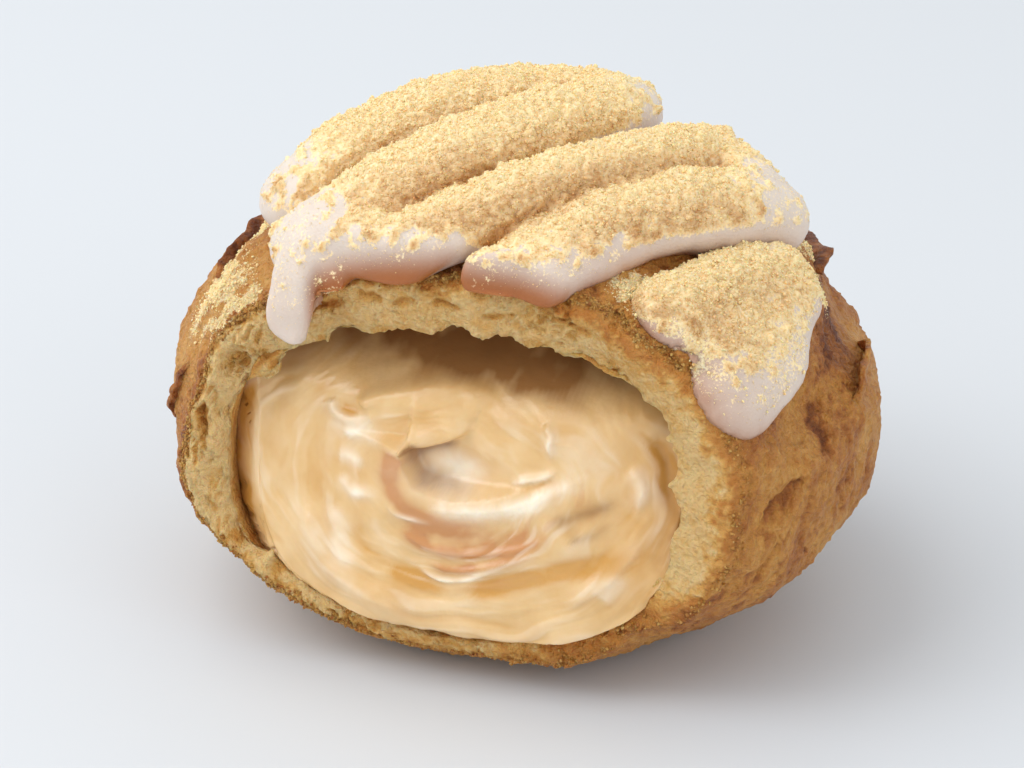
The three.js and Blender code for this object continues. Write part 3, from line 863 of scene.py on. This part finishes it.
# The face stands out below, lies back above and at both sides, and dips in the pool.
up = np.clip((level - 6) / 40, 0, 1)
depth = CREAM_BULGE - CREAM_TOP_RECESS * up ** 2 - CREAM_LEFT_RECESS * smoothstep(-along, 6, 29)
depth -= CREAM_RIGHT_RECESS * smoothstep(along, 13, 25)
depth -= POOL_DEPTH * np.exp(-((along - POOL[0]) / 5) ** 2 - ((level - POOL[1]) / 3) ** 2)
at_edge = (1 - smoothstep(from_edge, 0, 4.2)) ** 2
depth -= CREAM_EDGE_FALL * at_edge + CREAM_CROWN_RECESS * smoothstep(level, 34, 44)
folds = lumps(places, 7, 2, 21)
tints = {"gold": 0 * along, "pink": 0 * along, "shade": 0 * along, "white": 0 * along}
for stroke in STROKES.values():
    raised = ridge(on_face, stroke)
    depth += stroke.get("height", 0) * raised
    for tint in tints:
        tints[tint] += stroke.get(tint, 0) * raised
round_pool = np.arctan2(level - POOL[1] + 2, (along - POOL[0]) / 1.5)
off_pool = np.hypot(level - POOL[1] + 2, (along - POOL[0]) / 1.5)
swept = np.stack((1.5 * off_pool + 1.2 * folds, 4 * np.cos(round_pool), 4 * np.sin(round_pool)), axis=1)
smears = lumps(swept * (2.2, 1, 1), 2.2, 2, 24)
swept = lumps(swept, 2.6, 3, 22)
depth += FOLD_RISE * folds + (SWEEP_RISE * swept + SMEAR_RISE * smears) * smoothstep(off_pool, 3, 7)
new_places = places + CUT_OUT * (facing * (depth - past_cut(places)))[:, None]

# Its sides keep off the wall, but behind the gap it swells out to the wall and closes the gap's floor.
gap_floor = smoothstep(-along, 16, 22) * smoothstep(past_cut(places), -20, -12)
new_places -= corner_normals(cream) * (CREAM_OFF_WALL * (1 - facing) * (1 - gap_floor))[:, None]
behind_gap = smoothstep(-along, 18, 24) * smoothstep(past_cut(places), -24, -20) * (1 - facing)
behind_gap *= 1 - smoothstep(past_cut(places), -8.5, -7)
new_places -= CUT_ALONG * (GAP_FILLED * behind_gap)[:, None]

# Nothing of it shows through the crust.
radius, outward = off_puff_middle(new_places)
crust_reach = crust_under(outward)
held = np.where(crust_reach > 0, np.minimum(radius, crust_reach - CREAM_UNDER_CRUST), radius)
move_corners(cream, PUFF_MIDDLE + outward * held[:, None])
smooth(cream, 1)

# Colour: white strokes and pool, pinkish streaks, gold custard, painted highlights and painted shade.
mottle = lumps(places, 3.5, 3, 23)
tints["white"] += 0.8 * np.exp(-((along - POOL[0]) / 4) ** 2 - ((level - POOL[1]) / 2.2) ** 2)
ringed = smoothstep(off_pool, 4, 8) * smoothstep(36 - level, 0, 3)
tints["white"] += 0.2 * smoothstep(swept, 0.1, 0.8) * ringed
tints["white"] *= 1 - 0.8 * np.clip(tints["gold"], 0, 1)
tints["gold"] += 0.35 * smoothstep(-swept, 0.2, 0.9) * smoothstep(off_pool, 5, 9)
# Painted shade: gold and shade on the cream's side in the gap on the left, and gold on its right side.
gap_shade = smoothstep(-(new_places @ CUT_ALONG), 26.5, 27.3) * smoothstep(34 - level, 0, 3)
tints["gold"] += 0.45 * smoothstep(along, 15, 25) + 1.2 * gap_shade
tints["shade"] += 0.1 * gap_shade
lower_right = smoothstep(along + 1.5 * (24 - level), 2, 14) * smoothstep(34 - level, 0, 5)
lower_right *= smoothstep(off_pool, 5, 7) * smoothstep(13 - off_pool, 0, 3)
tints["pink"] += 0.4 * smoothstep(smears, 0.1, 0.8) * lower_right
tints["white"] += 0.3 * smoothstep(-smears, 0.25, 0.9) * lower_right
tints["shade"] += 0.75 * smoothstep(level, 37, 40) + 0.3 * smoothstep(along, 21, 25)
for tint, strength in tints.items():
    keep(cream, tint, np.clip(strength * (1 + 0.5 * mottle), 0, 1))
cream.data.shade_smooth()

CREAM_COLOURS = [
    (0.25, linear(235, 201, 150)),
    (0.5, linear(229, 190, 133)),
    (0.75, linear(221, 176, 115)),
]
# Pale cream, also used as painted highlight.
PALE_CREAM_AND_HIGHLIGHT = linear(252, 236, 212)
PINK_CREAM = linear(206, 146, 92)
# Gold of custard, also used as painted shade.
GOLD_CREAM_AND_SHADE = linear(214, 158, 78)
SHADE_CREAM = linear(158, 112, 66)
custard_cream, tree, shader = new_material("custard cream")
smeared = ramp(tree, grain(tree, 5), CREAM_COLOURS)
smeared = blend(tree, kept(tree, "gold"), smeared, GOLD_CREAM_AND_SHADE)
smeared = blend(tree, kept(tree, "pink"), smeared, PINK_CREAM)
smeared = blend(tree, kept(tree, "shade"), smeared, SHADE_CREAM)
smeared = blend(tree, kept(tree, "white"), smeared, PALE_CREAM_AND_HIGHLIGHT)
tree.links.new(smeared, shader.inputs["Base Color"])
bump = add_node(tree, "ShaderNodeBump", strength=0.25, distance=0.0002, height=grain(tree, 0.8, 3))
tree.links.new(bump.outputs[0], shader.inputs["Normal"])
shader.inputs["Roughness"].default_value = 0.22
shader.inputs["Subsurface Weight"].default_value = 0.25
shader.inputs["Subsurface Radius"].default_value = (1.0, 0.6, 0.3)
shader.inputs["Subsurface Scale"].default_value = 0.0004
cream.data.materials.append(custard_cream)
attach(cream, "root")
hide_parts("custard_cream")

# Rice cake
# Soft pounded rice dough, piped warm to and fro over the crown in one zigzag, with a last strand below.
# It sank under its own weight, and the knife left smooth faces where the strands reach the cut.

CAKE_GRID = 0.5
STRAND_TURN = math.radians(36)
MAP_RADIUS = 40
STRAND_LIFT = 2.4
STRAND_HEIGHT = 7.4
STRAND_THINNING = 0.38
STRAND_OVERHANG = 1.8
VALLEY_SHARPNESS = 1.1
DRIP_OVERHANG = 3.6
CLEAR_OF_CRUST = 0.1
CLUMP_HEIGHT = 0.26
HEAP_HEIGHT = 0.4
SPECK_HEIGHT = 0.12
PATCH_HEIGHT = 0.15
DIP_DEPTH = 0.6
ZIGZAG = [
    {"start": (-24, -11), "end": (8, -11), "bow": -1, "width": 13},
    {"start": (-29, 0), "end": (17, -2), "bow": 4, "width": 12.5},
    {"start": (-25.5, 9.8), "end": (17, 14.5), "bow": 3.2, "width": 9.5},
    {"start": (-14.5, 22.9), "end": (19, 23.5), "width": 11},
    {"start": (-20.5, 21.3), "end": (-12, 23), "width": 7},
    {"start": (8, -11), "end": (16, -2.5), "width": 10},
    {"start": (-29, 0), "end": (-25.5, 9.8), "width": 9.5},
    {"start": (17, 14.5), "end": (19, 23.5), "width": 10.5},
    {"start": (-29, -1), "end": (-37.5, 4), "width": 9.5},
]
TAIL = [
    {"start": (-2.5, 35.6), "end": (16, 33.9), "width": 9.5, "flat": 0.75},
    {"start": (6, 38), "end": (2, 44), "width": 13.5, "flat": 0.75},
    {"start": (16, 35), "end": (8.5, 42.5), "width": 9.5, "flat": 0.75},
    {"start": (9.5, 42), "end": (4, 45), "width": 10, "flat": 0.75},
]

# Stretches that the flour left bare, from one place to another, with how far they spread.
BARE = [
    {"from": (-29, -3, 55), "to": (-28, -5, 57), "spread": 4.5},
    {"from": (-25, -17, 55), "to": (-28, -27, 46), "spread": 5},
    {"from": (-21, -23, 53), "to": (-9, -26.5, 54), "spread": 3.5},
    {"from": (-5, -30, 53), "to": (6, -28.5, 53), "spread": 4},
    {"from": (10, -25.5, 54), "to": (16, -22, 54), "spread": 2},
    {"from": (30, -9, 55), "to": (36, 0, 52), "spread": 5.5},
    {"from": (18, 9, 62), "to": (19, 10, 59), "spread": 5},
    {"from": (17, -34, 46), "to": (24, -35.5, 39), "spread": 4.4, "least": 0.35},
    {"from": (25, -35, 38), "to": (33, -22, 43), "spread": 4.4, "least": 0.31},
]
# Stretches where the crust shines through the dough, darkened further with painted shade.
TAN = [
    {"from": (13, -30, 48), "to": (20, -35, 41), "spread": 3.5},
]
CAKE_COLOUR = linear(229, 217, 206)
CAKE_DEEP_COLOUR = linear(219, 203, 188)
# Tan of crust seen through the dough, also used as painted shade.
CAKE_CRUST_AND_SHADE = linear(166, 98, 46)


def within(places, stretch):
    """How far places lie from a stretch, as a share of how far it spreads."""
    first = np.array(stretch["from"])
    chord = np.array(stretch["to"]) - first
    share = np.clip((places - first) @ chord / (chord @ chord), 0, 1)
    return np.linalg.norm(places - first - share[:, None] * chord, axis=1) / stretch["spread"]


def on_dome(along, across, lift):
    """Places on the dome from a map of it unrolled flat, lifted off the smooth crust."""
    right = along * math.cos(STRAND_TURN) + across * math.sin(STRAND_TURN)
    back = along * math.sin(STRAND_TURN) - across * math.cos(STRAND_TURN)
    bearing = np.arctan2(back, right)
    fall = np.hypot(right, back) / MAP_RADIUS
    ways = np.stack((np.sin(fall) * np.cos(bearing), np.sin(fall) * np.sin(bearing), np.cos(fall)), axis=1)
    lift = lift * (1 - STRAND_THINNING * smoothstep(-back, 10, 28))
    return ways * (reach(ways, **CRUST) + lift)[:, None] + PUFF_MIDDLE


def strand(run):
    """One run of dough as a closed shape: a round-ended strand laid over the dome."""
    start = np.array(run["start"])
    chord = np.array(run["end"]) - start
    length = np.linalg.norm(chord)
    heading = chord / length
    half = run["width"] / 2
    flat = run.get("flat", 1)
    shape = bmesh.new()
    bmesh.ops.create_grid(shape, x_segments=round(length + math.pi * half), y_segments=40, size=0.5)
    net = np.array([vertex.co[:] for vertex in shape.verts]) + 0.5
    walked = net[:, 0] * (length + math.pi * half)
    first = np.clip(walked / half, 0, math.pi / 2)
    last = np.clip((walked - length) / half - math.pi / 2, 0, math.pi / 2)
    onward = np.clip(walked - math.pi / 2 * half, 0, length) - half * np.cos(first) + half * np.sin(last)
    ring = half * np.sin(first) * np.cos(last)
    turn = net[:, 1] * 2 * math.pi
    sideways = ring * np.cos(turn) + run.get("bow", 0) * (1 - (2 * onward / length - 1) ** 2)
    lift = STRAND_LIFT * flat + ring / half * np.sin(turn) * (STRAND_HEIGHT - STRAND_LIFT) * flat
    placed = on_dome(
        start[0] + heading[0] * onward - heading[1] * sideways,
        start[1] + heading[1] * onward + heading[0] * sideways,
        lift,
    )
    for vertex, place in zip(shape.verts, placed):
        vertex.co = place / 1000
    bmesh.ops.remove_doubles(shape, verts=shape.verts, dist=1e-6)
    bmesh.ops.recalc_face_normals(shape, faces=shape.faces)
    mesh = bpy.data.meshes.new("strand")
    shape.to_mesh(mesh)
    shape.free()
    return mesh


rice_cake, tree, shader = new_material("soft rice cake")
flour = add_flour(tree, Cover="flour", Depth="depth")
dough = blend(tree, grain(tree, 4), CAKE_COLOUR, CAKE_DEEP_COLOUR)
dough = blend(tree, kept(tree, "crust_through_and_shade"), dough, CAKE_CRUST_AND_SHADE)
dough = blend(tree, flour.outputs["Mask"], dough, flour.outputs["Colour"])
tree.links.new(dough, shader.inputs["Base Color"])
bump = add_node(tree, "ShaderNodeBump", strength=0.5, distance=0.0002, height=flour.outputs["Height"])
tree.links.new(bump.outputs[0], shader.inputs["Normal"])
shader.inputs["Roughness"].default_value = 0.4
shader.inputs["Subsurface Weight"].default_value = 0.5
shader.inputs["Subsurface Radius"].default_value = (1.0, 0.85, 0.7)
shader.inputs["Subsurface Scale"].default_value = 0.0015

cakes = []
for node, runs, evening in (("rice_cake_zigzag", ZIGZAG, 8), ("rice_cake_tail", TAIL, 20)):
    whole = bmesh.new()
    for run in runs:
        mesh = strand(run)
        whole.from_mesh(mesh)
        bpy.data.meshes.remove(mesh)
    cake = new_piece(whole, node + "_look")
    remesh(cake, CAKE_GRID)
    smooth(cake, evening)

    # What reaches over the cut lies flat against it down to the crust, but the drip on the left hangs lower.
    places = corners(cake)
    ahead = np.maximum(past_cut(places), 0)
    over_cut = smoothstep(past_cut(places), -1.5, 0)
    dripping = smoothstep(-places @ CUT_ALONG, 15.8, 18)
    overhang = STRAND_OVERHANG + (DRIP_OVERHANG - STRAND_OVERHANG) * dripping
    places += CUT_OUT * (overhang * (1 - np.exp(-ahead / overhang)) - ahead)[:, None]
    off_axis = np.hypot(places @ CUT_ALONG, CUT_DISTANCE - 1.4) / CRUST["radius"]
    crust_edge = np.clip(1 - off_axis ** CRUST["rise_power"], 0.01, 1) ** (1 / CRUST["rise_power"])
    crust_edge = PUFF_MIDDLE[2] + CRUST["rise"] * crust_edge + 0.2
    flat_front = over_cut * (1 - dripping) * (1 - smoothstep(places @ CUT_ALONG, 17, 21))
    places[:, 2] += np.maximum(crust_edge - places[:, 2], 0) * flat_front
    move_corners(cake, places)
    smooth(cake, 6)
    places = corners(cake)

    # The underside settles on the crust.
    radius, outward = off_puff_middle(places)
    crust_reach = crust_under(outward)
    places = PUFF_MIDDLE + outward * np.maximum(radius, crust_reach + CLEAR_OF_CRUST)[:, None]
    move_corners(cake, places)
    # Tan where the crust shows through the dough near it, and painted shade low on the faces over the cut.
    crust_through_and_shade = 0.8 * np.exp(-nearest(places, corners(shell)) / 1.8)
    crust_through_and_shade = np.maximum(crust_through_and_shade, flat_front * smoothstep(crust_edge + 5.5 - places[:, 2], 0, 5))
    for tan in TAN:
        crust_through_and_shade = np.maximum(crust_through_and_shade, 0.7 * smoothstep(1 - within(places, tan), 0, 0.8))
    keep(cake, "crust_through_and_shade", crust_through_and_shade)

    # Dips between strands show as places that move out as the shape is evened out.
    evened = bpy.data.objects.new("evened", cake.data.copy())
    smooth(evened, 40)
    dips = np.einsum("ij,ij->i", corners(evened) - places, corner_normals(cake))
    bpy.data.objects.remove(evened)
    keep(cake, "dip", dips)
    refine(cake, face_means(cake, corner_normals(cake)[:, 2]) > 0.2)

    # Flour lies on what looks up and in the dips, and heaps up unevenly.
    dips = read_kept(cake, "dip")
    looks = corner_normals(cake)
    places = corners(cake) - looks * (VALLEY_SHARPNESS * np.clip(dips, -0.6, 1.2))[:, None]
    cover = smoothstep(looks[:, 2] + 0.5 * np.clip(dips, -0.3, 1), -0.25, 0.3)
    patches = lumps(places, 1.6, 3, 15)
    for bare in BARE:
        least = bare.get("least", 0.2)
        cover *= least + (1 - least) * smoothstep(within(places, bare) + 0.65 * patches, 0.4, 1.9)
    clumps = bubbles(places + 0.25 * patches[:, None], 1.15, 16)
    heap = CLUMP_HEIGHT * np.minimum(clumps, 0.8) + HEAP_HEIGHT * np.abs(lumps(places, 1.8, 3, 16))
    heap += SPECK_HEIGHT * lumps(places, 0.5, 1, 17)
    heap += PATCH_HEIGHT * patches - DIP_DEPTH * np.clip(dips, 0, 1)
    flank = smoothstep(looks @ CUT_OUT, 0.1, 0.65) * smoothstep(0.98 - looks[:, 2], 0, 0.35)
    wobble = 0.35 * lumps(places, 8, 1, 18) + 0.15 * lumps(places, 3.5, 1, 19)
    move_corners(cake, places + looks * (smoothstep(cover, 0.2, 0.8) * heap + wobble)[:, None])
    keep(cake, "flour", cover)
    # Painted shade on the flour: darker in the dips, on flanks facing the front and between clumps.
    flour_shade = 0.95 * smoothstep(dips - 0.12 * patches, -0.08, 0.5) + 0.4 * flank * (1 + 0.8 * patches)
    flour_shade += 0.1 * (1 - smoothstep(clumps, 0.05, 0.45))
    keep(cake, "depth", np.clip(flour_shade, 0, 1) * smoothstep(cover, 0.3, 0.9))
    cake.data.shade_smooth()
    cake.data.materials.append(rice_cake)
    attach(cake, "root")
    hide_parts(node)
    cakes.append(cake)

# Roasted flour
# Ground roasted soya sifted thickly over the rice cake, so that it lies in crumbs and loose grains.
# Some fell on the crust beside the strands. Each grain is a small rough lump, half sunk where it lies.

CRUMB_SIZE = (0.16, 0.45)
GRAIN_SIZE = (0.12, 0.26)
FINE_SIZE = (0.08, 0.17)

roasted_flour, tree, shader = new_material("roasted flour")
flour = add_flour(tree, Depth="depth")
tree.links.new(flour.outputs["Colour"], shader.inputs["Base Color"])
shader.inputs["Roughness"].default_value = 1.0
shader.inputs["Specular IOR Level"].default_value = 0.2
shader.inputs["Subsurface Weight"].default_value = 0.3
shader.inputs["Subsurface Scale"].default_value = 0.0005

GRAIN_SHAPE = (
    np.array(((1, 0, 0), (-1, 0, 0), (0, 1, 0), (0, -1, 0), (0, 0, 1), (0, 0, -1))) * 0.5,
    np.array(((0, 2, 4), (2, 1, 4), (1, 3, 4), (3, 0, 4), (2, 0, 5), (1, 2, 5), (3, 1, 5), (0, 3, 5))),
)
FINE_SHAPE = (
    np.array(((1, 1, 1), (1, -1, -1), (-1, 1, -1), (-1, -1, 1))) * 0.4,
    np.array(((0, 1, 2), (0, 3, 1), (0, 2, 3), (1, 3, 2))),
)

# Each kind of grain with the piece it lies on, how many there are and how closely they keep to the flour.
GRAINS = [
    ("flour_crumbs_on_zigzag", cakes[0], 9000, 2.5, CRUMB_SIZE, CRUMB_SHAPE),
    ("flour_grains_on_zigzag", cakes[0], 24000, 2, GRAIN_SIZE, GRAIN_SHAPE),
    ("fine_flour_on_zigzag", cakes[0], 42000, 1, FINE_SIZE, FINE_SHAPE),
    ("flour_crumbs_on_tail", cakes[1], 1800, 1.3, CRUMB_SIZE, CRUMB_SHAPE),
    ("flour_grains_on_tail", cakes[1], 4000, 2, GRAIN_SIZE, GRAIN_SHAPE),
    ("fine_flour_on_tail", cakes[1], 9000, 1, FINE_SIZE, FINE_SHAPE),
    ("flour_crumbs_on_crust", shell, 2500, 1.5, CRUMB_SIZE, CRUMB_SHAPE),
    ("flour_grains_on_crust", shell, 6000, 1.5, GRAIN_SIZE, GRAIN_SHAPE),
]
for seed, (name, host, count, power, size, shape) in enumerate(GRAINS):
    grains = scatter(name, host, "flour", count, power, size, shape, seed)
    grains.data.materials.append(roasted_flour)
    grains.data.shade_smooth()

# Studio
# A plain pale floor under an even pale sky, with three large soft lights: one high on the left, one in
# front that fills the cut, and a weak one low on the right that thins the shadow.

FLOOR_REACH = 2
FLOOR_COLOUR = linear(212, 215, 219)
LIT_PLACE = Vector((0, 0, 0.03))
SKY_COLOUR = (0.95, 0.98, 1.0, 1.0)
SKY_STRENGTH = 0.84
LIGHTS = [
    {"name": "left light", "place": (-0.5, 0.06, 0.8), "size": 0.9, "power": 4.1},
    {"name": "front light", "place": (-0.62, -0.32, 0.6), "size": 0.5, "power": 1.4},
    {"name": "low fill", "place": (0.5, -0.6, 0.3), "size": 0.6, "power": 1.2},
]

floor_shape = bmesh.new()
bmesh.ops.create_grid(floor_shape, x_segments=1, y_segments=1, size=FLOOR_REACH)
floor = new_piece(floor_shape, "floor")
pale_floor, tree, shader = new_material("pale floor")
shader.inputs["Base Color"].default_value = FLOOR_COLOUR
shader.inputs["Roughness"].default_value = 0.6
floor.data.materials.append(pale_floor)

for light in LIGHTS:
    light_data = bpy.data.lights.new(light["name"], "AREA")
    light_data.size = light["size"]
    light_data.energy = light["power"]
    lamp = bpy.data.objects.new(light["name"], light_data)
    lamp.location = light["place"]
    lamp.rotation_euler = (LIT_PLACE - lamp.location).to_track_quat("-Z", "Y").to_euler()
    bpy.context.collection.objects.link(lamp)

sky = bpy.data.worlds.new("sky")
sky.use_nodes = True
sky.node_tree.nodes["Background"].inputs["Color"].default_value = SKY_COLOUR
sky.node_tree.nodes["Background"].inputs["Strength"].default_value = SKY_STRENGTH
bpy.context.scene.world = sky
bpy.context.scene.view_settings.view_transform = "Standard"

# Camera
# The photograph's view: 25 degrees above the floor, square to the front, through a long lens.
# The shift, in pixels of a frame 1024 wide, puts the puff where it stands in the picture.

VIEW_HEIGHT = math.radians(25)
VIEW_DISTANCE = 0.3911
LENS_LENGTH = 110
SENSOR_WIDTH = 36
FRAME_WIDTH = 1024
FRAME_SHIFT = (-11, 36)

camera_data = bpy.data.cameras.new("camera")
camera_data.lens = LENS_LENGTH
camera_data.sensor_width = SENSOR_WIDTH
camera_data.shift_x = FRAME_SHIFT[0] / FRAME_WIDTH
camera_data.shift_y = FRAME_SHIFT[1] / FRAME_WIDTH
camera = bpy.data.objects.new("camera", camera_data)
aim = Vector(PUFF_MIDDLE / 1000)
camera.location = aim + VIEW_DISTANCE * Vector((0, -math.cos(VIEW_HEIGHT), math.sin(VIEW_HEIGHT)))
camera.rotation_euler = (math.pi / 2 - VIEW_HEIGHT, 0, 0)
bpy.context.collection.objects.link(camera)
bpy.context.scene.camera = camera
